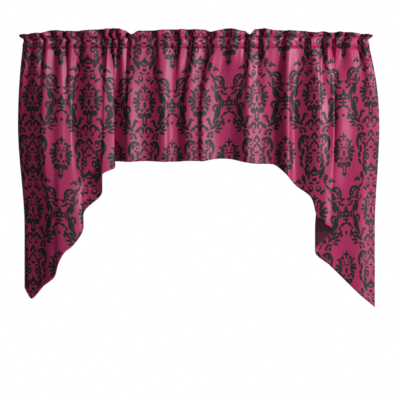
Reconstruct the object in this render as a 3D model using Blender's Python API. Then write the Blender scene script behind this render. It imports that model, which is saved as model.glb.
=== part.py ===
"""Window valance: one gathered cloth with a rod pocket heading, an arched hem and two tails.

The face of the cloth looks along -Y, +X runs along the rod to the right and +Z is up.
The origin is the middle of the rod's axis. Lengths are in metres, the charts are in millimetres.
"""

from collections import namedtuple

import bmesh
import bpy
from mathutils import Vector

MM = 0.001

# Driving sizes
CLOTH_THICKNESS = 0.0015
GATHER_DEPTH = 0.008  # a gather stands this far in front of or behind the seam
POCKET_HALF_HEIGHT = 0.019
POCKET_HALF_DEPTH = 0.0145
SEAM_HEIGHT = 0.0025  # the doubled cloth below the pocket, down to the heading's lower edge
RUFFLE_SPREAD = 1.02  # the ruffle's ends splay past the pocket's
HEADING_GAP = 0.0003  # between the heading's lower edge and the drop
DROP_TOP = -POCKET_HALF_HEIGHT - SEAM_HEIGHT - HEADING_GAP
MID_LEVEL = -0.270  # the gathers have opened into flutes at this height
TAIL_LEVEL = -0.611  # the tails have their own folds from this height down

# Steps of the meshes
STEPS_PER_FOLD = 3
DROP_ROWS = 13

# One row for each fold line, from the left edge to the right edge, in millimetres: where it runs at
# the heading, its place and depth at mid level and in the tails, and the height where its hem ends.
# A depth below zero stands towards the viewer. The lines turn by turns back and forth at the heading.
FoldLine = namedtuple("FoldLine", "head_x mid_x mid_y tail_x tail_y hem_z")
FOLD_LINES = [
    FoldLine(-574, -586, 62, -565, 56, -803),
    FoldLine(-550, -560, 44, -543, 46, -834),
    FoldLine(-528, -536, 26, -530, 36, -819),
    FoldLine(-508, -513, 12, -507, 26, -798),
    FoldLine(-489, -492, -5, -484, 16, -780),
    FoldLine(-468, -468, 4, -465, 7, -766),
    FoldLine(-449, -443, -14, -458, -32, -722),
    FoldLine(-432, -421, -4, -436, -29, -686),
    FoldLine(-414, -404, 7, -409, -18, -663),
    FoldLine(-396, -387, 15, -381, -8, -629),
    FoldLine(-380, -373, 10, -371, 2, -605),
    FoldLine(-363, -358, 1, -373, 29, -553),
    FoldLine(-345, -333, -22, -334, 32, -507),
    FoldLine(-325, -315, -19, -317, 20, -487),
    FoldLine(-304, -298, -10, -310, -24, -441),
    FoldLine(-283, -267, 20, -264, 20, -401),
    FoldLine(-257, -252, 8, -252, 8, -389),
    FoldLine(-231, -234, -9, -234, -9, -390),
    FoldLine(-205, -213, -16, -213, -16, -391),
    FoldLine(-150, -159, 13, -159, 13, -389),
    FoldLine(-121, -117, -13, -117, -13, -390),
    FoldLine(-60, -65, 16, -65, 16, -389),
    FoldLine(-26, -29, -2, -29, -2, -389),
    FoldLine(12, -7, 5, -7, 5, -390),
    FoldLine(40, 16, -13, 16, -13, -390),
    FoldLine(84, 75, 13, 75, 13, -380),
    FoldLine(107, 107, 6, 107, 6, -381),
    FoldLine(140, 137, 0, 137, 0, -387),
    FoldLine(166, 159, -15, 159, -15, -393),
    FoldLine(192, 211, 16, 211, 16, -398),
    FoldLine(220, 237, 12, 237, 12, -400),
    FoldLine(262, 261, 4, 262, 4, -402),
    FoldLine(288, 284, -23, 284, -22, -430),
    FoldLine(322, 331, 12, 330, 3, -478),
    FoldLine(348, 356, 4, 371, 12, -523),
    FoldLine(370, 386, -16, 384, -30, -565),
    FoldLine(394, 400, -14, 409, -27, -590),
    FoldLine(414, 422, -17, 427, -18, -611),
    FoldLine(431, 441, -2, 433, -3, -617),
    FoldLine(446, 434, 12, 406, 9, -642),
    FoldLine(460, 437, 21, 378, 18, -672),
    FoldLine(475, 458, 10, 396, 33, -704),
    FoldLine(494, 487, 3, 452, 26, -760),
    FoldLine(515, 513, 15, 497, 16, -803),
    FoldLine(534, 543, 8, 540, 14, -844),
    FoldLine(554, 587, 50, 566, 44, -862),
]

# The upper edge of the ruffle along the rod, in millimetres: it dips between its bunches and droops
# at both ends.
RuffleEdge = namedtuple("RuffleEdge", "x z")
RUFFLE_EDGE = [
    RuffleEdge(-585, 25),
    RuffleEdge(-510, 31),
    RuffleEdge(-480, 39),
    RuffleEdge(-420, 36),
    RuffleEdge(-265, 45),
    RuffleEdge(-240, 38),
    RuffleEdge(-219, 25),
    RuffleEdge(-195, 37),
    RuffleEdge(-60, 42),
    RuffleEdge(20, 41),
    RuffleEdge(40, 34),
    RuffleEdge(98, 45),
    RuffleEdge(150, 37),
    RuffleEdge(169, 25),
    RuffleEdge(185, 42),
    RuffleEdge(208, 45),
    RuffleEdge(250, 39),
    RuffleEdge(340, 37),
    RuffleEdge(385, 31),
    RuffleEdge(410, 36),
    RuffleEdge(430, 30),
    RuffleEdge(460, 34),
    RuffleEdge(570, 25),
]

# The heading's section, one row for each height on its outer face: the share of the pocket's depth
# that it bulges by, and the share of the gathers' depth that shows there. The rod flattens the
# gathers and the stitching lets them stand. A hollow row has the pocket inside it.
Station = namedtuple("Station", "height bulge gather hollow")
POCKET_STATIONS = [
    Station(-1.0, 0.0, 1.0, False),
    Station(-0.74, 0.62, 0.7, True),
    Station(-0.3, 1.0, 0.45, True),
    Station(0.3, 1.0, 0.4, True),
    Station(0.74, 0.62, 0.6, True),
    Station(1.0, 0.0, 0.85, False),
]
RUFFLE_GATHER = 1.15

CLOTH_COLOUR = (0.42, 0.02, 0.10, 1.0)


def catmull_rom(points, share):
    """The point on the curve between the middle two of four points."""
    before, start, end, after = points
    slope_in = (end - before) / 2
    slope_out = (after - start) / 2
    bend = start - end
    return (
        start
        + slope_in * share
        + (-3 * bend - 2 * slope_in - slope_out) * share**2
        + (2 * bend + slope_in + slope_out) * share**3
    )


def smooth_line(points):
    """A smooth curve through the points, STEPS_PER_FOLD steps from each to the next."""
    ends = [2 * points[0] - points[1], *points, 2 * points[-1] - points[-2]]
    line = [
        catmull_rom(ends[i : i + 4], step / STEPS_PER_FOLD)
        for i in range(len(points) - 1)
        for step in range(STEPS_PER_FOLD)
    ]
    return [*line, points[-1]]


def chart_value(chart, x):
    """The height that a chart of x and z gives at x, eased from row to row."""
    for low, high in zip(chart, chart[1:]):
        if x <= high.x * MM:
            share = min(1.0, max(0.0, (x / MM - low.x) / (high.x - low.x)))
            eased = share * share * (3 - 2 * share)
            return (low.z + (high.z - low.z) * eased) * MM
    return chart[-1].z * MM


def plan_normals(line):
    """For each point of a line seen from above, the level unit vector that points to the back."""
    normals = []
    for i in range(len(line)):
        along = line[min(i + 1, len(line) - 1)] - line[max(i - 1, 0)]
        normals.append(Vector((-along.y, along.x, 0)).normalized())
    return normals


def gathered_line(depth_share):
    """The heading's middle line at z = 0, with this share of the gathers' full depth."""
    turns = [GATHER_DEPTH * depth_share * (1 if i % 2 == 0 else -1) for i in range(len(FOLD_LINES))]
    return smooth_line([Vector((f.head_x * MM, turn, 0)) for f, turn in zip(FOLD_LINES, turns)])


def heading_row(side, depth, height, gather, spread=1.0):
    """A row of points along the heading, this deep in front of its middle (side -1) or behind it."""
    line = gathered_line(gather)
    stitched = min(depth, CLOTH_THICKNESS)
    row = []
    for i, (point, normal) in enumerate(zip(line, plan_normals(line))):
        x, y, _ = point + side * stitched * normal
        level = height[i] if isinstance(height, list) else height
        row.append(Vector((x * spread, y + side * (depth - stitched), level)))
    return row


def pocket_section():
    """The section's outer points and, inside the hollow rows, its inner points, as depth and height."""
    outer = []
    for s in POCKET_STATIONS:
        depth = CLOTH_THICKNESS + s.bulge * (POCKET_HALF_DEPTH - CLOTH_THICKNESS)
        outer.append(Vector((depth, s.height * POCKET_HALF_HEIGHT)))
    inner = []
    for i, s in enumerate(POCKET_STATIONS):
        if s.hollow:
            along = outer[i + 1] - outer[i - 1]
            outward = Vector((along.y, -along.x)).normalized()
            inner.append(outer[i] - outward * CLOTH_THICKNESS)
    return outer, inner


def heading_loops():
    """Rows round the outside of the heading and rows round the inside of its pocket."""
    outer, inner = pocket_section()
    gathers = [s.gather for s in POCKET_STATIONS]
    hollow_gathers = [s.gather for s in POCKET_STATIONS if s.hollow]
    edge = [chart_value(RUFFLE_EDGE, p.x * RUFFLE_SPREAD) for p in gathered_line(RUFFLE_GATHER)]
    shoulder = [z - CLOTH_THICKNESS for z in edge]
    bottom = Vector((CLOTH_THICKNESS, -POCKET_HALF_HEIGHT - SEAM_HEIGHT))
    outside, inside = [], []
    for side in (-1, 1):
        rows = [heading_row(side, *bottom, gathers[0])]
        rows += [heading_row(side, *point, gather) for point, gather in zip(outer, gathers)]
        rows.append(heading_row(side, CLOTH_THICKNESS, shoulder, RUFFLE_GATHER, RUFFLE_SPREAD))
        hollow = [heading_row(side, *point, gather) for point, gather in zip(inner, hollow_gathers)]
        if side == -1:
            outside += [*rows, heading_row(0, 0, edge, RUFFLE_GATHER, RUFFLE_SPREAD)]
            inside += [heading_row(0, 0, -POCKET_HALF_HEIGHT, gathers[0]), *hollow]
        else:
            outside += reversed(rows)
            inside += [heading_row(0, 0, POCKET_HALF_HEIGHT, gathers[-1]), *reversed(hollow)]
    return outside, inside


def drop_levels():
    """The plan lines of the drop at the seam, at mid level and in the tails, and the hem's heights."""
    seam = heading_row(-1, CLOTH_THICKNESS / 2, 0, 1.0)
    mid = smooth_line([Vector((f.mid_x, f.mid_y, 0)) * MM for f in FOLD_LINES])
    tail = smooth_line([Vector((f.tail_x, f.tail_y, f.hem_z)) * MM for f in FOLD_LINES])
    return seam, mid, tail


def drop_point(seam, mid, tail, z):
    """The point of one column of the drop at height z."""
    top = DROP_TOP
    opened = min(1.0, (top - z) / (top - MID_LEVEL))
    opened = 1 - (1 - opened) ** 2
    low = min(1.0, max(0.0, (MID_LEVEL - z) / (MID_LEVEL - TAIL_LEVEL)))
    low = low * low * (3 - 2 * low)
    point = seam.lerp(mid, opened).lerp(tail, low)
    return Vector((point.x, point.y, z))


def drop_rows():
    """The drop's cloth from just below the heading to the hem."""
    seam, mid, tail = drop_levels()
    rows = []
    for k in range(DROP_ROWS + 1):
        share = k / DROP_ROWS
        rows.append([drop_point(s, m, t, DROP_TOP + (t.z - DROP_TOP) * share) for s, m, t in zip(seam, mid, tail)])
    return rows


def cloth_material():
    """Printed satin: one plain colour that stands for the pattern."""
    material = bpy.data.materials.new("printed_satin")
    material.use_nodes = True
    shader = material.node_tree.nodes["Principled BSDF"]
    shader.inputs["Base Color"].default_value = CLOTH_COLOUR
    shader.inputs["Roughness"].default_value = 0.45
    shader.inputs["Metallic"].default_value = 0.0
    material.diffuse_color = CLOTH_COLOUR
    return material


def face_and_back(rows):
    """The same rows moved half the cloth's thickness to the front and to the back.

    The first row moves level, so that the edge under the heading stays flat.
    """
    faces = {-1: [], 1: []}
    for r, row in enumerate(rows):
        for side in faces:
            faces[side].append([])
        above, below = rows[max(r - 1, 0)], rows[min(r + 1, len(rows) - 1)]
        for c, point in enumerate(row):
            across = row[min(c + 1, len(row) - 1)] - row[max(c - 1, 0)]
            normal = across.cross(below[c] - above[c])
            if r == 0:
                normal.z = 0
            normal.normalize()
            for side in faces:
                faces[side][r].append(point - side * normal * CLOTH_THICKNESS / 2)
    return faces[-1], faces[1]


def grid_faces(first, row_count, width, flip=False):
    """Quads between row_count rows of width points whose numbers start at first."""
    quads = []
    for r in range(row_count - 1):
        for c in range(width - 1):
            a = first + r * width + c
            quad = (a, a + width, a + width + 1, a + 1)
            quads.append(quad[::-1] if flip else quad)
    return quads


def cloth_object(name, points, faces, material):
    """A closed body from points and faces, its faces turned outwards."""
    mesh = bpy.data.meshes.new(name)
    mesh.from_pydata(points, [], faces)
    body = bmesh.new()
    body.from_mesh(mesh)
    bmesh.ops.recalc_face_normals(body, faces=body.faces)
    body.to_mesh(mesh)
    body.free()
    mesh.materials.append(material)
    mesh.shade_smooth()
    cloth = bpy.data.objects.new(name, mesh)
    bpy.context.scene.collection.objects.link(cloth)


def build_panel(material):
    """The drop: its face, its back and the four narrow edges between them."""
    front, back = face_and_back(drop_rows())
    count, width = len(front), len(front[0])
    size = count * width
    edge = [*range(width)]
    edge += [r * width + width - 1 for r in range(1, count)]
    edge += [(count - 1) * width + c for c in range(width - 2, -1, -1)]
    edge += [r * width for r in range(count - 2, 0, -1)]
    faces = grid_faces(0, count, width) + grid_faces(size, count, width, flip=True)
    faces += [(a, b, b + size, a + size) for a, b in zip(edge, edge[1:] + edge[:1])]
    cloth_object("panel", [p for row in front + back for p in row], faces, material)


def build_heading(material):
    """The heading: a sleeve for the rod with the doubled ruffle above it."""
    outside, inside = heading_loops()
    width, turns = len(outside[0]), len(outside)
    hollow = turns * width
    faces = grid_faces(0, turns, width) + grid_faces(hollow, len(inside), width)
    last_out, last_in = (turns - 1) * width, hollow + (len(inside) - 1) * width
    for c in range(width - 1):
        faces.append((last_out + c, c, c + 1, last_out + c + 1))
        faces.append((last_in + c, hollow + c, hollow + c + 1, last_in + c + 1))
    for c in (0, width - 1):
        faces += heading_end(c, width, turns, hollow, len(inside))
    cloth_object("heading", [p for row in outside + inside for p in row], faces, material)


def heading_end(c, width, turns, hollow, rings):
    """The faces that close one end of the heading round the opening of the pocket."""
    out = [k * width + c for k in range(turns)]
    ring = [hollow + k * width + c for k in range(rings)]
    top = rings // 2
    faces = [(out[0], out[1], ring[0], out[-2], out[-1])]
    for k in range(top):
        faces.append((out[k + 1], out[k + 2], ring[k + 1], ring[k]))
        faces.append((out[-k - 2], out[-k - 3], ring[-k - 1], ring[-k % rings]))
    faces.append((*out[top + 1 : turns - top - 1], ring[top]))
    return faces


def main():
    for old in list(bpy.data.objects):
        bpy.data.objects.remove(old)
    material = cloth_material()
    build_heading(material)
    build_panel(material)


main()
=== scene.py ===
"""The look of the window valance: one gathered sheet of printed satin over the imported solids.

The print's chart counts in print steps: one step is 3.265 mm of the hung cloth, the repeat is 56
steps wide and 112 steps tall, and it is mirrored about two columns of medallions 28 steps apart.
"""

import math
from collections import namedtuple

import bpy
import numpy as np
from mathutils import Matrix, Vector


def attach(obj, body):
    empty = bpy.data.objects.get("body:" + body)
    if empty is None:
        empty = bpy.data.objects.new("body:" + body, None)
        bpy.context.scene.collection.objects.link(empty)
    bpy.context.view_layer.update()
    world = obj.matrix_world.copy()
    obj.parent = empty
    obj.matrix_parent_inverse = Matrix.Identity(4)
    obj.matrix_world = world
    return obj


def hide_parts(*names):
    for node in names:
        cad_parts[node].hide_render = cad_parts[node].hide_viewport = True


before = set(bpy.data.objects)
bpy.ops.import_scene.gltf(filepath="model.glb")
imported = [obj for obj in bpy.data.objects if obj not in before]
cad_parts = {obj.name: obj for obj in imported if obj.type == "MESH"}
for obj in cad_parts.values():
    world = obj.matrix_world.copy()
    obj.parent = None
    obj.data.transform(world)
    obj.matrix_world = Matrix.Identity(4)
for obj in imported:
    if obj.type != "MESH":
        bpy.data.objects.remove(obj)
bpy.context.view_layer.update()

MM = 0.001

# Sizes shared with the solids, in metres
GATHER_DEPTH = 0.008  # a gather stands this far in front of or behind the seam
POCKET_HALF_HEIGHT = 0.019
SEAM_LEVEL = -POCKET_HALF_HEIGHT  # the lower row of stitching, where the drop begins
MID_LEVEL = -0.270  # the gathers have opened into flutes at this height
TAIL_LEVEL = -0.611  # the tails have their own folds from this height down
RUFFLE_SPREAD = 1.02  # the ruffle's ends splay past the pocket's

# Sizes of the sewn cloth, in metres
CLOTH_THICKNESS = 0.0010
HEM_DEPTH = 0.012

# The heading, in metres apart from the shares
STITCHED_DEPTH = 0.0012  # the doubled cloth at its stitching, from its middle to a layer
EDGE_INSET = 0.0004  # the middle of the cloth lies this far inside the ruffle's edge
SPREAD_FOOT = 0.008  # the ruffle's ends start to splay at this height
SPREAD_RISE = 0.010
NECK = 0.008  # the share that the stitching under the ruffle draws its ends in
NECK_LEVEL = 0.004
NECK_REACH = 0.011

# Puckers, creases and wrinkles, in metres
FINE_PUCKER = 0.0010
FINE_PITCH = 0.0125
COARSE_PUCKER = 0.0012
COARSE_PITCH = 0.031
PUCKER_FADE = 0.04  # how far down the puckers fade to about a third
CREASE_ACROSS = 0.0014
CREASE_AGAINST = 0.0013
CREASE_RISE = 0.012
WRINKLE_SLANT = 0.0007
WRINKLE_SLOW = 0.0008
WRINKLE_DROP = 0.06  # the wrinkles reach their full size this far below the seam

# Steps of the sheet
COLUMNS = 360
HEADING_ROWS = 40
DROP_ROWS = 90
CLOTH_SAMPLES = 4501  # places where the cloth's length along its folds is measured

# The print
STEP = 0.003265
HALF_REPEAT = 28
REPEAT_HEIGHT = 112
MEDALLION_REACH = 28  # a medallion's chart ends this far above and below its middle
AXIS_STEP_X = 198.5  # the print step that falls on the middle of the rod
AXIS_STEP_Y = 41.8  # and on its height
INK_SPREAD = 0.22  # how far the ink runs past the chart's lines, in print steps
INK_EDGE = 0.15  # half the width over which the ink ends, in print steps
COLUMN_CLOTH = 105  # millimetres of cloth between two columns of medallions
PAST_THE_SIDES = 200  # the print runs on evenly for this many millimetres past the outer columns

# Each fold line's places and depths, in millimetres, at the heading, at mid level and in the tails,
# and the height where its hem ends. A depth below zero stands towards the viewer. The chart is closer
# to the photograph than the solids' own, whose cloth lies up to about 24 mm from this sheet.
FoldLine = namedtuple("FoldLine", "head_x mid_x mid_y tail_x tail_y hem_z")
FOLD_LINES = [
    FoldLine(-574, -594, 50, -573, 56, -804),
    FoldLine(-560, -588, 34, -564, 42, -820),
    FoldLine(-544, -562, 20, -548, 34, -840),
    FoldLine(-527, -534, 5, -527, 24, -822),
    FoldLine(-504, -517, -4, -508, 14, -799),
    FoldLine(-495, -506, -9, -487, -1, -783),
    FoldLine(-469, -478, -2, -468, -9, -765),
    FoldLine(-449, -451, -9, -456, -17, -724),
    FoldLine(-429, -433, -4, -436, -20, -688),
    FoldLine(-418, -420, 0, -408, -16, -664),
    FoldLine(-389, -402, 3, -377, -2, -615),
    FoldLine(-364, -344, -21, -375, 30, -551),
    FoldLine(-309, -315, -17, -317, 20, -495),
    FoldLine(-295, -305, -18, -326, -24, -436),
    FoldLine(-282, -275, -6, -269, -8, -411),
    FoldLine(-273, -279, 14, -279, 16, -392),
    FoldLine(-263, -263, 8, -263, 8, -390),
    FoldLine(-250, -247, -2, -247, -2, -391),
    FoldLine(-227, -237, -8, -237, -8, -392),
    FoldLine(-214, -224, -12, -224, -12, -392),
    FoldLine(-139, -171, 8, -171, 8, -389),
    FoldLine(-126, -116, -12, -116, -12, -392),
    FoldLine(-70, -90, 4, -90, 4, -391),
    FoldLine(-57, -71, 8, -71, 8, -391),
    FoldLine(-31, -55, 1, -55, 1, -390),
    FoldLine(-11, -37, -12, -37, -12, -389),
    FoldLine(22, -1, -4, -1, -4, -389),
    FoldLine(58, 14, -11, 14, -11, -390),
    FoldLine(90, 56, 12, 56, 12, -382),
    FoldLine(113, 102, 15, 102, 15, -382),
    FoldLine(155, 145, -6, 145, -6, -392),
    FoldLine(168, 162, -12, 162, -12, -395),
    FoldLine(198, 188, 2, 188, 2, -398),
    FoldLine(217, 217, 13, 217, 13, -398),
    FoldLine(276, 250, 13, 250, 13, -402),
    FoldLine(291, 288, -16, 286, -16, -434),
    FoldLine(341, 318, 6, 322, 4, -471),
    FoldLine(374, 385, -25, 363, -11, -510),
    FoldLine(403, 404, -21, 386, -20, -572),
    FoldLine(423, 423, -12, 413, -25, -595),
    FoldLine(441, 443, -12, 436, -5, -618),
    FoldLine(451, 441, 19, 382, 22, -683),
    FoldLine(468, 464, 9, 430, 26, -730),
    FoldLine(491, 506, 21, 466, 27, -765),
    FoldLine(521, 547, 19, 524, 20, -822),
    FoldLine(540, 566, 21, 550, 26, -844),
    FoldLine(558, 593, 26, 579, 36, -868),
]

# The upper edge of the ruffle along the rod, in millimetres.
RuffleEdge = namedtuple("RuffleEdge", "x z")
RUFFLE_EDGE = [
    RuffleEdge(-585, 25),
    RuffleEdge(-510, 31),
    RuffleEdge(-480, 39),
    RuffleEdge(-420, 36),
    RuffleEdge(-265, 45),
    RuffleEdge(-240, 38),
    RuffleEdge(-219, 25),
    RuffleEdge(-195, 37),
    RuffleEdge(-60, 42),
    RuffleEdge(20, 41),
    RuffleEdge(40, 34),
    RuffleEdge(98, 45),
    RuffleEdge(150, 37),
    RuffleEdge(169, 25),
    RuffleEdge(185, 42),
    RuffleEdge(208, 45),
    RuffleEdge(250, 39),
    RuffleEdge(340, 37),
    RuffleEdge(385, 31),
    RuffleEdge(410, 36),
    RuffleEdge(430, 30),
    RuffleEdge(460, 34),
    RuffleEdge(570, 25),
]

# At the heading the lines lie behind the seam and in front of it by turns.
GATHER_TURNS = [(-1) ** i for i in range(len(FOLD_LINES))]

# The way of the cloth round the heading, from the lower seam at the back over the crown to the
# lower seam at the front: depth behind the middle and height in metres, the share of the ruffle's
# rise, and the shares of the gathers and of the small puckers.
Turn = namedtuple("Turn", "depth z rise gather pucker")
BACK_TURNS = [
    Turn(STITCHED_DEPTH, -0.0215, 0.0, 1.00, 0.7),
    Turn(STITCHED_DEPTH, -0.0190, 0.0, 1.00, 0.9),
    Turn(0.0078, -0.0141, 0.0, 0.88, 0.9),
    Turn(0.0112, -0.0057, 0.0, 0.80, 0.8),
    Turn(0.0112, 0.0057, 0.0, 0.80, 0.8),
    Turn(0.0078, 0.0141, 0.0, 0.85, 0.9),
    Turn(STITCHED_DEPTH, 0.0190, 0.0, 0.85, 1.0),
    Turn(0.0030, 0.0190, 0.4, 1.00, 0.9),
    Turn(0.0022, 0.0190, 0.85, 1.15, 1.0),
]
CROWN = Turn(0.0, 0.0190, 1.0, 1.15, 1.0)
FRONT_TURNS = [turn._replace(depth=-turn.depth) for turn in reversed(BACK_TURNS[1:])]
HEADING_TURNS = [*BACK_TURNS, CROWN, *FRONT_TURNS]
# The turns where the two rows of stitching run on the front.
LOWER_SEAM = len(HEADING_TURNS) - 1
UPPER_SEAM = len(HEADING_TURNS) - 6

# Where the columns of medallions hang, in print steps from the left of the photograph's frame, at
# the heading, at mid level and in the tails. Column 0 is the first of the plain columns.
PrintColumn = namedtuple("PrintColumn", "number head mid tail")
PRINT_COLUMNS = [
    PrintColumn(-1, 32.5, 32.5, 32.5),
    PrintColumn(0, 60.6, 61.9, 59.6),
    PrintColumn(1, 88.0, 89.3, 89.4),
    PrintColumn(2, 115.4, 116.0, 116.0),
    PrintColumn(3, 144.0, 144.8, 144.8),
    PrintColumn(4, 172.2, 172.0, 172.0),
    PrintColumn(5, 200.5, 200.0, 200.0),
    PrintColumn(6, 229.0, 229.3, 229.3),
    PrintColumn(7, 257.0, 256.8, 256.8),
    PrintColumn(8, 284.8, 285.5, 285.5),
    PrintColumn(9, 314.0, 314.2, 314.2),
    PrintColumn(10, 344.0, 344.0, 347.3),
    PrintColumn(11, 370.0, 371.3, 371.5),
]
# A line across the photograph meets the cloth of the right tail's pleat more than once. The columns
# up to this one hang at the first meeting and the others at the last.
LAST_COLUMN_BEFORE_PLEAT = 9
# Fold lines, by number, at the pleats' edges and back folds, with the steps of the print that they show.
PLEAT_PRINT = {
    "head": (),
    "mid": ((40, 270.6), (41, 271.8)),
    "tail": ((6, -4.5), (7, -1.1), (10, 21.8), (11, 22.6), (40, 268.4), (41, 249.3)),
}

# How far each step down the print hangs below its own number of steps, at five steps of the print.
PrintDrop = namedtuple("PrintDrop", "x step_20 step_56 step_96 step_152 step_208")
PRINT_DROPS = [
    PrintDrop(32, 40.5, 41.0, 40.3, 41.0, 41.5),
    PrintDrop(61, 41.6, 42.6, 43.2, 43.0, 44.4),
    PrintDrop(89, 44.5, 45.6, 46.2, 47.8, 49.0),
    PrintDrop(116, 44.8, 46.0, 46.4, 47.5, 49.0),
    PrintDrop(145, 46.5, 48.3, 48.0, 48.0, 48.0),
    PrintDrop(172, 45.0, 46.2, 46.7, 47.0, 47.0),
    PrintDrop(200, 44.5, 46.4, 46.0, 46.0, 46.0),
    PrintDrop(229, 41.0, 43.4, 45.2, 45.5, 46.0),
    PrintDrop(257, 39.5, 42.0, 43.2, 44.0, 45.0),
    PrintDrop(285, 36.6, 40.2, 42.4, 44.0, 45.0),
    PrintDrop(314, 36.5, 40.3, 40.3, 46.0, 48.0),
    PrintDrop(344, 33.8, 37.4, 39.7, 41.8, 46.0),
    PrintDrop(371, 32.5, 35.5, 37.0, 40.4, 44.0),
]
PRINT_LEVELS = [int(name.split("_")[1]) for name in PrintDrop._fields[1:]]

# The damask, charted one by one. Each leaf is a pointed oval at x, y in print steps from the middle of
# its medallion, with y downwards, its half width, its half length, and its lean in degrees.
Leaf = namedtuple("Leaf", "x y wide long lean")
MEDALLION_LEAVES = [
    Leaf(0, -15.0, 1.0, 4.4, 0),
    Leaf(3.5, -12.0, 1.0, 2.3, 30),
    Leaf(6.2, -9.0, 1.0, 2.8, 58),
    Leaf(5.5, -6.0, 1.0, 2.3, 50),
    Leaf(7.0, -3.6, 1.1, 3.2, 68),
    Leaf(7.2, -0.9, 1.3, 3.8, 88),
    Leaf(6.8, 2.3, 1.2, 3.1, 120),
    Leaf(5.9, 5.4, 1.2, 2.7, 124),
    Leaf(7.5, 7.3, 1.2, 2.2, 14),
    Leaf(2.4, 6.2, 1.0, 2.0, 155),
    Leaf(2.2, -7.6, 0.6, 1.6, 16),
    Leaf(0, 0.7, 1.2, 3.4, 0),
    Leaf(0, 10.4, 1.1, 2.6, 0),
    Leaf(4.1, 10.3, 1.3, 2.5, 96),
    Leaf(5.3, 12.1, 1.3, 2.0, 12),
    Leaf(3.3, 13.4, 0.7, 1.2, 60),
    Leaf(1.9, 12.8, 0.9, 2.9, 7),
    Leaf(1.3, 17.0, 0.6, 2.2, -6),
    Leaf(0, 21.2, 1.4, 2.1, 0),
]
OGEE_LEAVES = [
    Leaf(6.9, -20.9, 1.1, 2.5, 62),
    Leaf(6, -19.8, 0.8, 1.8, 15),
    Leaf(10.6, -24.9, 0.8, 2.6, -22),
    Leaf(12.5, -23, 1.1, 2.3, -38),
    Leaf(14.6, -20.1, 0.7, 2, 72),
    Leaf(17.5, -20.1, 1.2, 2.6, -46),
    Leaf(16.6, 7.8, 0.8, 1.5, 10),
    Leaf(15.3, -16.9, 1.1, 2.1, -30),
    Leaf(15.2, -13.7, 1, 3, -10),
    Leaf(17.4, -12.2, 0.9, 2.1, 76),
    Leaf(16.9, -14.3, 0.6, 1.5, 70),
    Leaf(21.6, -18.3, 1, 2, 66),
    Leaf(20.3, -16.3, 0.8, 1.6, -50),
    Leaf(22.7, -14.7, 0.8, 2, -28),
    Leaf(20.9, -12.9, 0.8, 1.7, -42),
    Leaf(24.1, -10.9, 1, 2.5, -8),
    Leaf(25.8, -10.9, 0.8, 1.7, 60),
    Leaf(12.2, -12.4, 0.8, 2.8, -28),
    Leaf(14.7, -9.3, 0.7, 2, -6),
    Leaf(21.8, -7.9, 1.1, 2.6, -24),
    Leaf(24.6, -5.9, 0.9, 2.2, 112),
    Leaf(16.9, -4.4, 2.1, 5.6, -4),
    Leaf(20, -2.4, 1.3, 3.9, -12),
    Leaf(22.3, 3, 0.9, 4.2, 3),
    Leaf(19.8, 5, 0.9, 5, -3),
    Leaf(17.9, 7.6, 0.9, 4, -4),
    Leaf(16.4, 14, 1.9, 4.9, 4),
    Leaf(19, 12.8, 0.9, 3.6, 6),
    Leaf(24.4, 12.6, 1.3, 2, 50),
    Leaf(21.6, 15.6, 0.8, 2.4, 35),
    Leaf(23.3, 22.9, 0.8, 1.8, 25),
    Leaf(19.8, 20.7, 0.7, 2.1, 82),
    Leaf(22.6, 18.6, 0.8, 1.6, -20),
    Leaf(14.4, 19.2, 1.3, 3.9, 12),
    Leaf(16.8, 21.2, 1.1, 3.6, 30),
    Leaf(18.7, 24.0, 1.1, 3.6, 57),
    Leaf(19.1, 27.2, 1.1, 3.4, 84),
    Leaf(17.4, 30.2, 1.1, 3.1, 112),
    Leaf(13.2, 25.8, 1.4, 4, 55),
    Leaf(9.5, 19.6, 1.2, 4, -8),
    Leaf(7.4, 17.6, 1, 1.9, 62),
    Leaf(11, 23, 0.9, 3.6, -22),
    Leaf(7.5, 27.4, 0.9, 2.8, -20),
    Leaf(9.6, 31.8, 1, 2.5, 50),
    Leaf(12.7, 31, 0.9, 2, -45),
    Leaf(1.3, 38.6, 0.9, 3.2, -24),
    Leaf(2.3, 41.2, 0.9, 1.4, 30),
    Leaf(10.4, 43.6, 0.9, 3, 0),
    Leaf(6, 39.9, 1.2, 1.6, 40),
    Leaf(7.8, 41.8, 0.8, 1.6, -40),
    Leaf(6.8, 44.8, 0.8, 1.3, 30),
    Leaf(7.8, 48, 0.9, 1.9, 45),
    Leaf(6, 51, 1, 3.6, -8),
    Leaf(1.7, 45.9, 0.9, 1.8, -30),
    Leaf(0, 43.6, 0.7, 1.6, 0),
    Leaf(3.5, 49.4, 0.7, 2.5, -12),
    Leaf(10.4, 52.2, 1, 2.6, 14),
    Leaf(2.9, 32.6, 0.8, 2, 42),
    Leaf(3.9, 55.2, 0.9, 2.3, 70),
    Leaf(10.4, 54.6, 1.3, 2.7, -12),
    Leaf(12.2, 59.4, 1.4, 2.9, 4),
    Leaf(11.8, 65.4, 1.2, 3.4, 24),
    Leaf(6.8, 57.9, 1.1, 2.7, -20),
    Leaf(7.3, 62.6, 1, 2.3, -18),
    Leaf(7.9, 68.3, 0.7, 1.6, -40),
    Leaf(5.6, 68, 0.7, 1.6, 40),
    Leaf(0, 69.9, 1.1, 3.2, 0),
    Leaf(2.2, 71.8, 0.9, 2.8, -20),
    Leaf(1.3, 75, 0.9, 1.4, 75),
    Leaf(7.8, 70.4, 1.2, 2.7, 40),
    Leaf(7.2, 73.6, 1.3, 3.1, 24),
    Leaf(5.5, 76, 1.2, 3.6, 12),
    Leaf(4.4, 72.6, 0.8, 2.6, 20),
    Leaf(2.9, 82.6, 0.9, 2.2, 64),
    Leaf(10.1, 77.9, 1.6, 3, 4),
    Leaf(9.2, 82.7, 0.8, 3, -12),
    Leaf(15.2, 81.7, 0.8, 2, 58),
    Leaf(17.2, 82.7, 0.9, 2.2, -52),
    Leaf(14.2, 80.3, 0.6, 1.6, 10),
]
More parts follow.
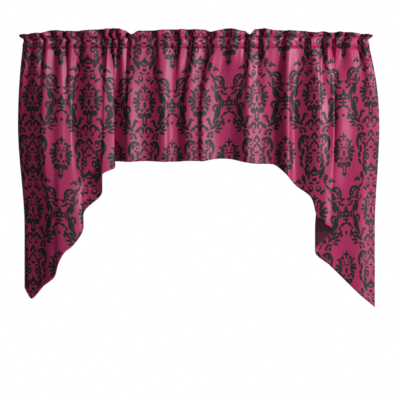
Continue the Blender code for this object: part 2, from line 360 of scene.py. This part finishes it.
PLAIN_LEAVES = [
    Leaf(0, 54.8, 1.4, 3.2, 0),
    Leaf(2.7, 57.3, 1.0, 2.0, -58),
    Leaf(1.5, 57.0, 0.9, 2.2, -25),
    Leaf(3.1, 60.7, 0.8, 1.4, 80),
    Leaf(0, 64.4, 0.8, 3.9, 0),
    Leaf(1.8, 64.2, 0.7, 1.6, 72),
    Leaf(1.1, 67.4, 0.6, 1.5, -38),
]
# Round drops: x, y, half width and half height.
Drop = namedtuple("Drop", "x y wide high")
MEDALLION_DROPS = [
    Drop(2.0, -15.5, 1.2, 0.8),
    Drop(5.3, -11.2, 0.9, 1.0),
    Drop(8.2, -10.6, 1.1, 0.8),
    Drop(9.0, -4.5, 1.5, 1.2),
    Drop(9.6, -0.9, 1.6, 1.5),
    Drop(8.2, 3.2, 1.4, 1.1),
    Drop(1.1, 20.2, 1.3, 1.2),
]
OGEE_DROPS = [
    Drop(0, 52.8, 1.8, 1.1),
    Drop(0, 79.4, 1.9, 1.5),
    Drop(12.1, 34.6, 1.2, 1.7),
    Drop(8.3, 34.7, 1.3, 1.2),
    Drop(6.6, 66.2, 1.6, 1.5),
    Drop(9.8, 79.7, 1.9, 1.3),
    Drop(13.5, 82.5, 1.5, 1.4),
    Drop(13.1, -19.7, 1.0, 0.9),
    Drop(18.2, -8.7, 1.2, 0.9),
    Drop(21.9, 20.7, 1.7, 1.5),
]
PLAIN_DROPS = [Drop(1.6, 60.4, 1.4, 1.4), Drop(0, 76.3, 1.1, 1.4)]
# Scrolls: an oval with a second oval cut out of it, which leaves a crescent.
Scroll = namedtuple("Scroll", "body cut")
MEDALLION_SCROLLS = [Scroll(Drop(0, -4.0, 3.0, 1.5), Drop(0, -3.2, 2.9, 1.4))]
OGEE_SCROLLS = [
    Scroll(Drop(3.5, -24.0, 2.1, 2.8), Drop(3.5, -24.9, 1.3, 1.6)),
    Scroll(Drop(18.2, -16.7, 6.1, 7.1), Drop(17.2, -15.2, 5.9, 7.0)),
    Scroll(Drop(15.6, 6.8, 2.8, 3.7), Drop(16.8, 7.5, 2.3, 2.4)),
    Scroll(Drop(3.3, 26.6, 2.9, 3.8), Drop(3.4, 27.8, 1.6, 2.8)),
    Scroll(Drop(9.6, 46.4, 5.3, 8.7), Drop(8.3, 48.6, 4.4, 8.6)),
    Scroll(Drop(3.9, 61.0, 1.9, 3.2), Drop(3.9, 61.3, 0.8, 1.8)),
]

# The hem's turn and the stitches, in metres apart from the cosine
HEM_EDGE = 0.0006  # half the width of the soft step where the doubled cloth ends
HEM_ROW_INSET = 0.0018  # the hem's row of stitches runs this far inside that step
LEAST_SLOPE = 0.5  # the least cosine that is read for the hem's slope
THREAD_CORE = 0.0002  # the thread shows fully this far to each side of its row
THREAD_EDGE = 0.0006  # and has ended here
# A stitch and its gap, in print steps along the thread
STITCH_HALF_PITCH = 0.45
GAP_END = 0.08
STITCH_START = 0.16

# Finishes
PRINT_GROUND = (0.42, 0.021, 0.112, 1)
PRINT_INK = (0.002, 0.012, 0.009, 1)
REVERSE_COLOUR = (0.110, 0.016, 0.042, 1)
THREAD = (0.14, 0.008, 0.035, 1)
GROUND_SHADES = (0.86, 1.14)  # the slubs darken and lighten the colour by these shares
REVERSE_SHADES = (0.8, 1.2)
WEAVE_SCALE = (520.0, 60.0, 1.0)  # the noise's cells to a repeat of the print, across and down
SLUB_DETAIL = 2.0
FACE_ROUGHNESS = 0.42
INK_ROUGHNESS = 0.09  # what the ink adds to the face's
FACE_SLUB_ROUGHNESS = 0.06  # what the slubs add to the face's
REVERSE_ROUGHNESS = 0.52
REVERSE_SLUB_ROUGHNESS = 0.1  # what the slubs add to the reverse's
FACE_SPECULAR = 0.36
SHEEN_WEIGHT = 0.02
SHEEN_ROUGHNESS = 0.35
BUMP_DISTANCE = 0.0004
SLUB_BUMP = 0.12
HEM_BUMP = 0.5
STITCH_BUMP = 0.6

# The studio, in metres and watts
FLOOR_SIZE = 4
FLOOR_PLACE = (0, 0, -1.6)
FLOOR_COLOUR = (0.82, 0.82, 0.82, 1)
FLOOR_ROUGHNESS = 0.7
WHITE = (1, 1, 1, 1)
SURROUND_STRENGTH = 0.12
Light = namedtuple("Light", "name place size power")
LIGHTS = [Light("key", (3.6, -2.6, 0.7), 0.7, 190), Light("fill", (-1.2, -4.4, 0.6), 1.2, 16)]
LIGHTS_AIM = (0, 0, -0.4)
CAMERA_DISTANCE = 6.0
CAMERA_HEIGHT = -0.516
PICTURE_WIDTH = 1.306
PICTURE_MIDDLE_X = 0.005
SENSOR_WIDTH = 36
CLIP_END = 50


# The shape of the hung cloth


def through(chart, at):
    """A smooth curve through the chart's values, read at positions that count rows from 0."""
    values = np.asarray(chart, float)
    ends = np.concatenate(([2 * values[0] - values[1]], values, [2 * values[-1] - values[-2]]))
    i = np.clip(at.astype(int), 0, len(values) - 2)
    t = at - i
    a, b, c, d = ends[i], ends[i + 1], ends[i + 2], ends[i + 3]
    return b + 0.5 * t * (c - a + t * (2 * a - 5 * b + 4 * c - d + t * (3 * (b - c) + d - a)))


def column(chart, name):
    return [getattr(row, name) for row in chart]


def eased(share):
    share = np.clip(share, 0, 1)
    return share * share * (3 - 2 * share)


def ruffle_edge(x):
    """The height of the ruffle's upper edge at x."""
    xs, zs = np.array(column(RUFFLE_EDGE, "x")) * MM, np.array(column(RUFFLE_EDGE, "z")) * MM
    i = np.clip(np.searchsorted(xs, x) - 1, 0, len(xs) - 2)
    return zs[i] + (zs[i + 1] - zs[i]) * eased((x - xs[i]) / (xs[i + 1] - xs[i]))


# The next three functions sum sines of uneven lengths, in radians to a metre of the hung cloth.


def small_puckers(x):
    """The little pleats that the stitching draws up, by their place along the rod, in metres."""
    wander = np.sin(x * 71.0) + 0.6 * np.sin(x * 29.0 + 1.3)
    fine = np.sin(x * 2 * math.pi / FINE_PITCH + 2.2 * wander)
    coarse = np.sin(x * 2 * math.pi / COARSE_PITCH + 1.6 * np.sin(x * 47.0 + 0.7))
    return FINE_PUCKER * fine * (0.75 + 0.25 * np.sin(x * 38.0)) + COARSE_PUCKER * coarse


def slanted_creases(x, z):
    """The crossing creases of the heading, drawn up askew by the gathers, in metres."""
    across = np.sin(x * 212.0 + z * 190.0 + 1.9 * np.sin(x * 37.0)) * np.sin(x * 41.0 + 0.8)
    against = np.sin(x * 158.0 - z * 240.0 + 1.4 * np.sin(x * 23.0 + 1.0)) * np.sin(x * 59.0 + 2.1)
    height = eased((z - SEAM_LEVEL) / CREASE_RISE)
    return (CREASE_ACROSS * across + CREASE_AGAINST * against) * height


def soft_wrinkles(x, z):
    """Small uneven swells of the hanging cloth, in metres."""
    slant = np.sin(x * 61.0 + z * 23.0 + 1.1) * np.sin(z * 19.0 - x * 7.0)
    slow = np.sin(x * 33.0 - z * 31.0 + 0.4) * np.sin(z * 27.0 + x * 13.0 + 2.0)
    return WRINKLE_SLANT * slant + WRINKLE_SLOW * slow


def column_places():
    """Where the sheet's columns run, counted in fold lines, spread by the cloth between them."""
    spans = []
    for x, y in (("head_x", None), ("mid_x", "mid_y"), ("tail_x", "tail_y")):
        dx = np.diff(column(FOLD_LINES, x))
        dy = np.diff(column(FOLD_LINES, y)) if y else 2 * GATHER_DEPTH / MM
        spans.append(np.hypot(dx, dy))
    reach = np.concatenate(([0], np.cumsum(np.max(spans, axis=0))))
    return np.interp(np.linspace(0, reach[-1], COLUMNS + 1), reach, np.arange(len(FOLD_LINES)))


def level_normals(x, y):
    """Level unit vectors that point to the back, for lines of points seen from above."""
    dx, dy = np.gradient(x, axis=1), np.gradient(y, axis=1)
    length = np.hypot(dx, dy)
    return -dy / length, dx / length


def heading_points(at, turn_at):
    """The points of the cloth round the heading. turn_at counts the rows of HEADING_TURNS."""
    depth, z, rise, gather, pucker = (
        through(column(HEADING_TURNS, name), turn_at)[:, None] for name in Turn._fields
    )
    x = through(column(FOLD_LINES, "head_x"), at)[None, :] * MM + 0 * depth
    turns = through(GATHER_TURNS, at)[None, :]
    y = GATHER_DEPTH * gather * turns + pucker * small_puckers(x)
    back_x, back_y = level_normals(x, y)
    stitched = np.clip(depth, -STITCHED_DEPTH, STITCHED_DEPTH)
    edge = ruffle_edge(x * RUFFLE_SPREAD) - EDGE_INSET
    height = z + rise * (edge - POCKET_HALF_HEIGHT)
    splayed = (RUFFLE_SPREAD - 1) * eased((height - SPREAD_FOOT) / SPREAD_RISE)
    drawn_in = NECK * np.exp(-(((height - NECK_LEVEL) / NECK_REACH) ** 2))
    spread = 1 + splayed - drawn_in
    creased = y + slanted_creases(x, height)
    return (x + back_x * stitched) * spread, creased + back_y * stitched + depth - stitched, height


def hang_shares(z):
    """How far the gathers have opened at each height, and how far the tails' own folds have begun."""
    opened = 1 - (1 - np.clip((SEAM_LEVEL - z) / (SEAM_LEVEL - MID_LEVEL), 0, 1)) ** 2
    low = eased((MID_LEVEL - z) / (MID_LEVEL - TAIL_LEVEL))
    return opened, low


def drop_points(at, share):
    """The points of the cloth below the heading. share runs from the seam, 0, to the hem, 1."""
    seam_x, seam_y, _ = heading_points(at, np.array([float(LOWER_SEAM)]))
    pucker = small_puckers(through(column(FOLD_LINES, "head_x"), at) * MM)
    pucker = pucker * HEADING_TURNS[LOWER_SEAM].pucker
    hem = through(column(FOLD_LINES, "hem_z"), at) * MM
    z = SEAM_LEVEL + (hem[None, :] - SEAM_LEVEL) * share[:, None]
    opened, low = hang_shares(z)
    lines = [(seam_x, seam_y - pucker)]
    for level in ("mid", "tail"):
        charts = (column(FOLD_LINES, f"{level}_{axis}") for axis in "xy")
        lines.append([through(chart, at)[None, :] * MM for chart in charts])
    x, y = ((a + (b - a) * opened) * (1 - low) + c * low for a, b, c in zip(*lines))
    wrinkles = soft_wrinkles(x, z) * eased((SEAM_LEVEL - z) / WRINKLE_DROP)
    y = y + pucker * np.exp((z - SEAM_LEVEL) / PUCKER_FADE) + wrinkles
    return x, y, z


# The flat print on the hung cloth


def print_across(at, level):
    """The print's step across the cloth at each column, as it hangs at one level."""
    fine = np.linspace(0, len(FOLD_LINES) - 1, CLOTH_SAMPLES)
    x = through(column(FOLD_LINES, f"{level}_x"), fine)
    if level == "head":
        y = GATHER_DEPTH / MM * through(GATHER_TURNS, fine)
    else:
        y = through(column(FOLD_LINES, f"{level}_y"), fine)
    cloth = np.concatenate(([0], np.cumsum(np.hypot(np.diff(x), np.diff(y)))))
    marks = []
    for print_column in PRINT_COLUMNS:
        place = (getattr(print_column, level) - AXIS_STEP_X) * STEP / MM
        passed = np.flatnonzero((x[:-1] < place) & (x[1:] >= place))
        if len(passed):
            crossing = passed[0 if print_column.number <= LAST_COLUMN_BEFORE_PLEAT else -1]
            marks.append((cloth[crossing], print_column.number * HALF_REPEAT))
    marks += [(np.interp(fold, fine, cloth), step) for fold, step in PLEAT_PRINT[level]]
    marks.sort()
    where, step = np.array(marks).T
    steps_past = PAST_THE_SIDES * HALF_REPEAT / COLUMN_CLOTH
    where = np.concatenate(([where[0] - PAST_THE_SIDES], where, [where[-1] + PAST_THE_SIDES]))
    step = np.concatenate(([step[0] - steps_past], step, [step[-1] + steps_past]))
    return np.interp(np.interp(at, fine, cloth), where, step)


def print_down(x, z):
    """The print's step down the cloth at a place on its front."""
    across = x / STEP + AXIS_STEP_X
    down = AXIS_STEP_Y - z / STEP
    hung = [
        step + np.interp(across, column(PRINT_DROPS, "x"), column(PRINT_DROPS, name))
        for step, name in zip(PRINT_LEVELS, PrintDrop._fields[1:])
    ]
    flat = PRINT_LEVELS[0] + np.minimum(down - hung[0], 0) + np.maximum(down - hung[-1], 0)
    for k in range(len(hung) - 1):
        passed = np.clip((down - hung[k]) / (hung[k + 1] - hung[k]), 0, 1)
        flat = flat + passed * (PRINT_LEVELS[k + 1] - PRINT_LEVELS[k])
    return flat


def cloth_sheet():
    """The hung sheet as arrays of points, print steps and distances from the hems and seams."""
    at = column_places()
    turn_at = np.linspace(0, len(HEADING_TURNS) - 1, HEADING_ROWS + 1)
    share = np.linspace(0, 1, DROP_ROWS + 1)[1:]
    heading, drop = heading_points(at, turn_at), drop_points(at, share)
    x, y, z = (np.concatenate(pair) for pair in zip(heading, drop))

    head, mid, tail = (print_across(at, level)[None, :] for level in ("head", "mid", "tail"))
    opened, low = hang_shares(z)
    u = (head * (1 - opened) + mid * opened) * (1 - low) + tail * low
    v = print_down(x, z)
    # Behind the crown the print runs on upwards, as the cloth is turned to the back.
    crown = nearest_row(turn_at, len(BACK_TURNS))
    behind = turn_at < len(BACK_TURNS)
    v[: len(turn_at)][behind] = (2 * print_down(x[crown], z[crown]) - v[: len(turn_at)])[behind]

    moved = np.sqrt(sum(np.diff(places, axis=0) ** 2 for places in (x, y, z)))
    length = np.concatenate(([0 * x[0]], np.cumsum(moved, axis=0)))
    to_hem = length[-1] - length
    to_side = np.minimum(u - u[:, :1], u[:, -1:] - u) * STEP
    hem = np.minimum(to_hem * hem_slope(x, z), np.abs(to_side))
    seam_rows = [nearest_row(turn_at, turn) for turn in (LOWER_SEAM, UPPER_SEAM)]
    seam = np.min([np.abs(length - length[row]) for row in seam_rows], axis=0)
    return x, y, z, u, v, hem, seam


def nearest_row(turn_at, turn):
    """The number of the row that lies nearest to a turn of the heading."""
    return int(np.argmin(np.abs(turn_at - turn)))


def hem_slope(x, z):
    """The cosine of the hem's slope, which turns a height above the hem into a distance from it."""
    dx, dz = np.gradient(x[-1]), np.gradient(z[-1])
    slope = np.abs(dx) / np.hypot(dx, dz)
    return np.clip(slope, LEAST_SLOPE, 1)[None, :]


def clear_selection():
    bpy.ops.object.select_all(action="DESELECT")


def sew_cloth(face, reverse):
    """The whole valance as one fine sheet, laid over the shape row by row."""
    x, y, z, u, v, hem, seam = cloth_sheet()
    rows, width = x.shape
    clear_selection()
    bpy.ops.mesh.primitive_grid_add(
        x_subdivisions=width - 1, y_subdivisions=rows - 1, size=2, calc_uvs=True
    )
    cloth = bpy.context.active_object
    cloth.name = "valance_cloth"
    mesh = cloth.data
    flat = np.empty(len(mesh.vertices) * 3)
    mesh.vertices.foreach_get("co", flat)
    flat = flat.reshape(-1, 3)
    # Each point's column and row on the grid, which runs from -1 to 1, with row 0 at its upper edge
    c = np.rint((flat[:, 0] + 1) / 2 * (width - 1)).astype(int)
    r = np.rint((1 - flat[:, 1]) / 2 * (rows - 1)).astype(int)
    places = np.stack([values[r, c] for values in (x, y, z)], axis=1)
    mesh.vertices.foreach_set("co", places.ravel())

    corner = np.empty(len(mesh.loops), int)
    mesh.loops.foreach_get("vertex_index", corner)
    steps = np.stack([u[r, c] / (2 * HALF_REPEAT), -v[r, c] / REPEAT_HEIGHT], axis=1)
    mesh.uv_layers[0].name = "flat_print"
    mesh.uv_layers[0].data.foreach_set("uv", steps[corner].ravel())
    for name, values in (("hem", hem), ("seam", seam)):
        mesh.attributes.new(name, "FLOAT", "POINT").data.foreach_set("value", values[r, c])
    mesh.update()

    mesh.materials.append(face)
    mesh.materials.append(reverse)
    thickness = cloth.modifiers.new("thickness", "SOLIDIFY")
    thickness.thickness = CLOTH_THICKNESS
    thickness.offset = 0
    thickness.material_offset = 1
    thickness.material_offset_rim = 0
    clear_selection()
    cloth.select_set(True)
    bpy.context.view_layer.objects.active = cloth
    bpy.ops.object.modifier_apply(modifier="thickness")
    bpy.ops.object.shade_smooth()
    return cloth


# The finishes


class Wire:
    """A node's output that adds Math nodes for what is done to it."""

    def __init__(self, tree, socket):
        self.tree, self.socket = tree, socket

    def node(self, kind, inputs, out=0, **settings):
        made = self.tree.nodes.new(kind)
        for name, value in settings.items():
            setattr(made, name, value)
        for place, value in inputs.items():
            if isinstance(value, Wire):
                self.tree.links.new(value.socket, made.inputs[place])
            else:
                made.inputs[place].default_value = value
        return Wire(self.tree, made.outputs[out])

    def math(self, operation, *values):
        return self.node("ShaderNodeMath", dict(enumerate(values)), operation=operation)

    def vector(self, operation, *values, out="Vector"):
        return self.node("ShaderNodeVectorMath", dict(enumerate(values)), out=out, operation=operation)

    def __add__(self, other):
        return self.math("ADD", self, other)

    __radd__ = __add__

    def __sub__(self, other):
        return self.math("SUBTRACT", self, other)

    def __rsub__(self, other):
        return self.math("SUBTRACT", other, self)

    def __mul__(self, other):
        return self.math("MULTIPLY", self, other)

    def smaller(self, other):
        return self.math("MINIMUM", self, other)

    def larger(self, other):
        return self.math("MAXIMUM", self, other)

    def step(self, low, high):
        """0 below low, 1 above high, and a smooth rise between."""
        inputs = {"Value": self, "From Min": low, "From Max": high}
        return self.node("ShaderNodeMapRange", inputs, interpolation_type="SMOOTHSTEP")

    def blend(self, first, second):
        """The first colour where this is 0 and the second where it is 1."""
        return self.node("ShaderNodeMix", {0: self, 6: first, 7: second}, out=2, data_type="RGBA")

    def axis(self, name):
        return self.node("ShaderNodeSeparateXYZ", {0: self}, out=name)

    def far_from(self, x, y):
        """The distance of the point from a place on the print."""
        return self.vector("DISTANCE", self, (x, y, 0), out="Value")

    def far_in(self, drop):
        """The point's distance from the middle of an oval, where 1 is the oval's edge."""
        shares = (1 / drop.wide, 1 / drop.high, 1)
        moved = (-drop.x / drop.wide, -drop.y / drop.high, 0)
        spot = self.vector("MULTIPLY_ADD", self, shares, moved)
        return spot.vector("LENGTH", spot, out="Value")


def with_leaves(deepest, point, leaves):
    """The larger of deepest and how far inside each leaf the point is, in print steps.

    A leaf is the overlap of two circles.
    """
    for leaf in leaves:
        radius = (leaf.long**2 + leaf.wide**2) / (2 * leaf.wide)
        lean = math.radians(leaf.lean)
        aside = (radius - leaf.wide) * math.cos(lean), (radius - leaf.wide) * math.sin(lean)
        left = point.far_from(leaf.x - aside[0], leaf.y - aside[1])
        right = point.far_from(leaf.x + aside[0], leaf.y + aside[1])
        inside = radius - left.larger(right)
        deepest = deepest.larger(inside) if deepest else inside
    return deepest


def with_drops(deepest, point, drops, scrolls=()):
    """The larger of deepest and how far inside each round drop and scroll the point is."""
    for drop in drops:
        inside = (1 - point.far_in(drop)) * min(drop.wide, drop.high)
        deepest = deepest.larger(inside) if deepest else inside
    for body, cut in scrolls:
        inside = (1 - point.far_in(body)) * min(body.wide, body.high)
        outside_cut = (point.far_in(cut) - 1) * min(cut.wide, cut.high)
        inside = inside.smaller(outside_cut)
        deepest = deepest.larger(inside) if deepest else inside
    return deepest


def damask(flat):
    """1 where the cloth is printed and 0 on its ground.

    The plain columns and the ogee columns take turns. A medallion's middle is at 0 in both, and the
    ogee columns hang half a repeat lower.
    """
    u, v = flat.axis("X") * (2 * HALF_REPEAT), flat.axis("Y") * -REPEAT_HEIGHT
    from_plain = u.math("PINGPONG", u, HALF_REPEAT)
    from_ogee = HALF_REPEAT - from_plain
    foot = REPEAT_HEIGHT - MEDALLION_REACH
    below_plain = v.math("WRAP", v, foot, -MEDALLION_REACH)
    below_ogee = v.math("WRAP", v - REPEAT_HEIGHT / 2, foot, -MEDALLION_REACH)
    ogee = u.node("ShaderNodeCombineXYZ", {0: from_ogee, 1: below_ogee})
    plain = u.node("ShaderNodeCombineXYZ", {0: from_plain, 1: below_plain})
    near_plain = below_plain.math("LESS_THAN", below_plain, MEDALLION_REACH)
    medallion = u.node("ShaderNodeMix", {0: near_plain, 4: ogee, 5: plain}, out=1, data_type="VECTOR")

    deepest = with_leaves(None, medallion, MEDALLION_LEAVES)
    deepest = with_leaves(deepest, ogee, OGEE_LEAVES)
    deepest = with_leaves(deepest, plain, PLAIN_LEAVES)
    deepest = with_drops(deepest, medallion, MEDALLION_DROPS, MEDALLION_SCROLLS)
    deepest = with_drops(deepest, ogee, OGEE_DROPS, OGEE_SCROLLS)
    deepest = with_drops(deepest, plain, PLAIN_DROPS)
    return (deepest + INK_SPREAD).step(-INK_EDGE, INK_EDGE)


def new_finish(name):
    """A material, its Principled shader and its node tree."""
    material = bpy.data.materials.new(name)
    material.use_nodes = True
    tree = material.node_tree
    return material, tree.nodes["Principled BSDF"], tree


def join(tree, wire, shader, socket):
    tree.links.new(wire.socket, shader.inputs[socket])


def print_place(tree):
    """The place on the flat print, from the cloth's own UV map."""
    place = tree.nodes.new("ShaderNodeUVMap")
    place.uv_map = "flat_print"
    return Wire(tree, place.outputs[0])


def weave_height(flat):
    """The satin's slubs, as a height from 0 to 1."""
    threads = flat.node("ShaderNodeMapping", {"Vector": flat, "Scale": WEAVE_SCALE})
    return flat.node("ShaderNodeTexNoise", {"Vector": threads, "Scale": 1.0, "Detail": SLUB_DETAIL})


def shades(colour, shares):
    """The colour made darker and lighter by the two shares."""
    return ((*(c * share for c in colour[:3]), 1) for share in shares)


def hem_and_stitches(flat):
    """0 on the doubled cloth of the hems and 1 elsewhere, and 1 on the stitches."""
    hem = flat.node("ShaderNodeAttribute", {}, out="Fac", attribute_name="hem")
    seam = flat.node("ShaderNodeAttribute", {}, out="Fac", attribute_name="seam")
    single = hem.step(HEM_DEPTH - HEM_EDGE, HEM_DEPTH + HEM_EDGE)
    from_row = hem.math("ABSOLUTE", hem - (HEM_DEPTH - HEM_ROW_INSET)).smaller(seam)
    along = flat.axis("X") * (2 * HALF_REPEAT) + flat.axis("Y") * REPEAT_HEIGHT
    dash = along.math("PINGPONG", along, STITCH_HALF_PITCH).step(GAP_END, STITCH_START)
    return single, (1 - from_row.step(THREAD_CORE, THREAD_EDGE)) * dash


def printed_satin():
    """The face of the cloth: black damask on a wine pink ground with a satin sheen."""
    material, shader, tree = new_finish("printed_satin")
    flat = print_place(tree)
    inked = damask(flat)
    slubs = weave_height(flat)
    single, sewn = hem_and_stitches(flat)
    ground = slubs.blend(*shades(PRINT_GROUND, GROUND_SHADES))
    colour = sewn.blend(inked.blend(ground, PRINT_INK), THREAD)
    join(tree, colour, shader, "Base Color")
    roughness = FACE_ROUGHNESS + inked * INK_ROUGHNESS + slubs * FACE_SLUB_ROUGHNESS
    join(tree, roughness, shader, "Roughness")
    shader.inputs["Specular IOR Level"].default_value = FACE_SPECULAR
    shader.inputs["Sheen Weight"].default_value = SHEEN_WEIGHT
    shader.inputs["Sheen Roughness"].default_value = SHEEN_ROUGHNESS
    height = slubs * SLUB_BUMP - single * HEM_BUMP - sewn * STITCH_BUMP
    bump = {"Strength": 1.0, "Distance": BUMP_DISTANCE, "Height": height}
    join(tree, flat.node("ShaderNodeBump", bump), shader, "Normal")
    return material


def plain_reverse():
    """The back of the cloth: dark plum, duller than the face."""
    material, shader, tree = new_finish("plum_reverse")
    slubs = weave_height(print_place(tree))
    colour = slubs.blend(*shades(REVERSE_COLOUR, REVERSE_SHADES))
    join(tree, colour, shader, "Base Color")
    join(tree, REVERSE_ROUGHNESS + slubs * REVERSE_SLUB_ROUGHNESS, shader, "Roughness")
    bump = {"Strength": SLUB_BUMP, "Distance": BUMP_DISTANCE, "Height": slubs}
    join(tree, slubs.node("ShaderNodeBump", bump), shader, "Normal")
    return material


# The studio


def pale_floor():
    clear_selection()
    bpy.ops.mesh.primitive_plane_add(size=FLOOR_SIZE, location=FLOOR_PLACE)
    floor = bpy.context.active_object
    floor.name = "studio_floor"
    bpy.ops.object.transform_apply(location=True)
    material, shader, _ = new_finish("pale_floor")
    shader.inputs["Base Color"].default_value = FLOOR_COLOUR
    shader.inputs["Roughness"].default_value = FLOOR_ROUGHNESS
    floor.data.materials.append(material)


def soft_light(name, place, size, power):
    light = bpy.data.lights.new(name, "AREA")
    light.shape = "DISK"
    light.size = size
    light.energy = power
    lamp = bpy.data.objects.new(name, light)
    lamp.location = place
    lamp.rotation_euler = (Vector(LIGHTS_AIM) - Vector(place)).to_track_quat("-Z", "Y").to_euler()
    bpy.context.scene.collection.objects.link(lamp)


def white_surround():
    """White to the camera, and softer as a light."""
    world = bpy.data.worlds.new("surround")
    world.use_nodes = True
    bpy.context.scene.world = world
    tree = world.node_tree
    light = tree.nodes["Background"]
    light.inputs["Color"].default_value = WHITE
    light.inputs["Strength"].default_value = SURROUND_STRENGTH
    seen = tree.nodes.new("ShaderNodeBackground")
    seen.inputs["Color"].default_value = WHITE
    path = tree.nodes.new("ShaderNodeLightPath")
    mix = tree.nodes.new("ShaderNodeMixShader")
    tree.links.new(path.outputs["Is Camera Ray"], mix.inputs[0])
    tree.links.new(light.outputs[0], mix.inputs[1])
    tree.links.new(seen.outputs[0], mix.inputs[2])
    tree.links.new(mix.outputs[0], tree.nodes["World Output"].inputs[0])


def front_camera():
    lens = bpy.data.cameras.new("front")
    lens.sensor_width = SENSOR_WIDTH
    lens.lens = SENSOR_WIDTH * CAMERA_DISTANCE / PICTURE_WIDTH
    lens.clip_end = CLIP_END
    camera = bpy.data.objects.new("front", lens)
    camera.location = (PICTURE_MIDDLE_X, -CAMERA_DISTANCE, CAMERA_HEIGHT)
    camera.rotation_euler = (math.pi / 2, 0, 0)
    bpy.context.scene.collection.objects.link(camera)
    bpy.context.scene.camera = camera


def main():
    cloth = sew_cloth(printed_satin(), plain_reverse())
    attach(cloth, "root")
    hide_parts("heading", "panel")
    pale_floor()
    white_surround()
    for light in LIGHTS:
        soft_light(*light)
    front_camera()
    bpy.context.scene.view_settings.view_transform = "Standard"


main()
